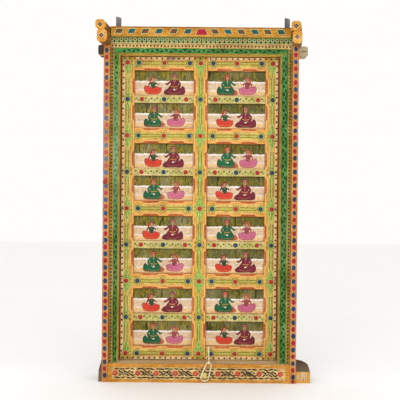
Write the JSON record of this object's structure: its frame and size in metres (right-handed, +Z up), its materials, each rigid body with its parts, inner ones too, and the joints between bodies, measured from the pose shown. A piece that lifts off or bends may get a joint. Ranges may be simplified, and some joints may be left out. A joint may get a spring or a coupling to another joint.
{
  "type": "painted double door",
  "caption": "Painted wooden double door in its frame, with wooden pivots, studded rails, figure panels and a ring hasp.",
  "frame": {"origin": "under the middle of the sill, half-way between the front of the outer bands and the back of the posts", "axes": "+Z up, +X to the right seen from the painted side, +Y away from the painted side"},
  "size_m": [1.306, 0.3, 2.224],
  "materials": {
    "orange_paint": "worn paint",
    "green_paint": "worn paint",
    "brown_paint": "worn paint",
    "cream_paint": "worn paint",
    "bare_wood": "weathered",
    "red_paint": "satin",
    "blue_paint": "satin",
    "hasp_iron": "worn"
  },
  "bodies": {
    "frame": {"sill_beam": "bare_wood", "sill_board": "cream_paint", "lintel_beam": "bare_wood", "left_post": "bare_wood", "right_post": "bare_wood", "left_outer_band": "orange_paint", "right_outer_band": "orange_paint", "left_dotted_strip": "brown_paint", "right_dotted_strip": "brown_paint", "head_dotted_strip": "cream_paint", "left_green_moulding": "green_paint", "right_green_moulding": "green_paint", "head_green_moulding": "green_paint", "frieze_board": "cream_paint", "cornice": "orange_paint", "left_corner_block": "orange_paint", "right_corner_block": "orange_paint", "band_knob": "red_paint", "sill_stop": "bare_wood", "head_stop": "bare_wood"},
    "left_leaf": {"left_hinge_stile": "cream_paint", "left_meeting_stile": "cream_paint", "left_top_rail": "cream_paint", "left_rail_1": "cream_paint", "left_rail_2": "cream_paint", "left_rail_3": "cream_paint", "left_bottom_rail": "cream_paint", "left_strip_1": "cream_paint", "left_strip_2": "cream_paint", "left_strip_3": "cream_paint", "left_strip_4": "cream_paint", "left_panel_1": "cream_paint", "left_panel_2": "cream_paint", "left_panel_3": "cream_paint", "left_panel_4": "cream_paint", "left_red_studs": "red_paint", "left_blue_studs": "blue_paint"},
    "right_leaf": {"right_hinge_stile": "cream_paint", "right_meeting_stile": "cream_paint", "right_top_rail": "cream_paint", "right_rail_1": "cream_paint", "right_rail_2": "cream_paint", "right_rail_3": "cream_paint", "right_bottom_rail": "cream_paint", "right_strip_1": "cream_paint", "right_strip_2": "cream_paint", "right_strip_3": "cream_paint", "right_strip_4": "cream_paint", "right_panel_1": "cream_paint", "right_panel_2": "cream_paint", "right_panel_3": "cream_paint", "right_panel_4": "cream_paint", "right_red_studs": "red_paint", "right_blue_studs": "blue_paint", "hasp_staple": "hasp_iron"},
    "hasp_link": {"hasp_link": "hasp_iron"},
    "hasp_ring": {"hasp_ring": "hasp_iron"}
  },
  "joints": [
    {"name": "left_leaf_swing", "type": "hinge", "parent": "frame", "child": "left_leaf", "pos_m": [-0.4625, 0.036, 0.116], "axis": [0, 0, -1], "range_deg": [0, 88]},
    {"name": "right_leaf_swing", "type": "hinge", "parent": "frame", "child": "right_leaf", "pos_m": [0.4505, 0.036, 0.116], "axis": [0, 0, 1], "range_deg": [0, 88]},
    {"name": "link_swing", "type": "hinge", "parent": "right_leaf", "child": "hasp_link", "pos_m": [0.06, 0.003, 0.19], "axis": [-1, 0, 0], "range_deg": [0, 80]},
    {"name": "ring_swing", "type": "hinge", "parent": "hasp_link", "child": "hasp_ring", "pos_m": [0.06, -0.094, 0.12457], "axis": [-1, 0, 0], "range_deg": [0, 60]}
  ],
  "couplings": [
    {"joint": "right_leaf_swing", "follows": "left_leaf_swing", "ratio": 1}
  ]
}
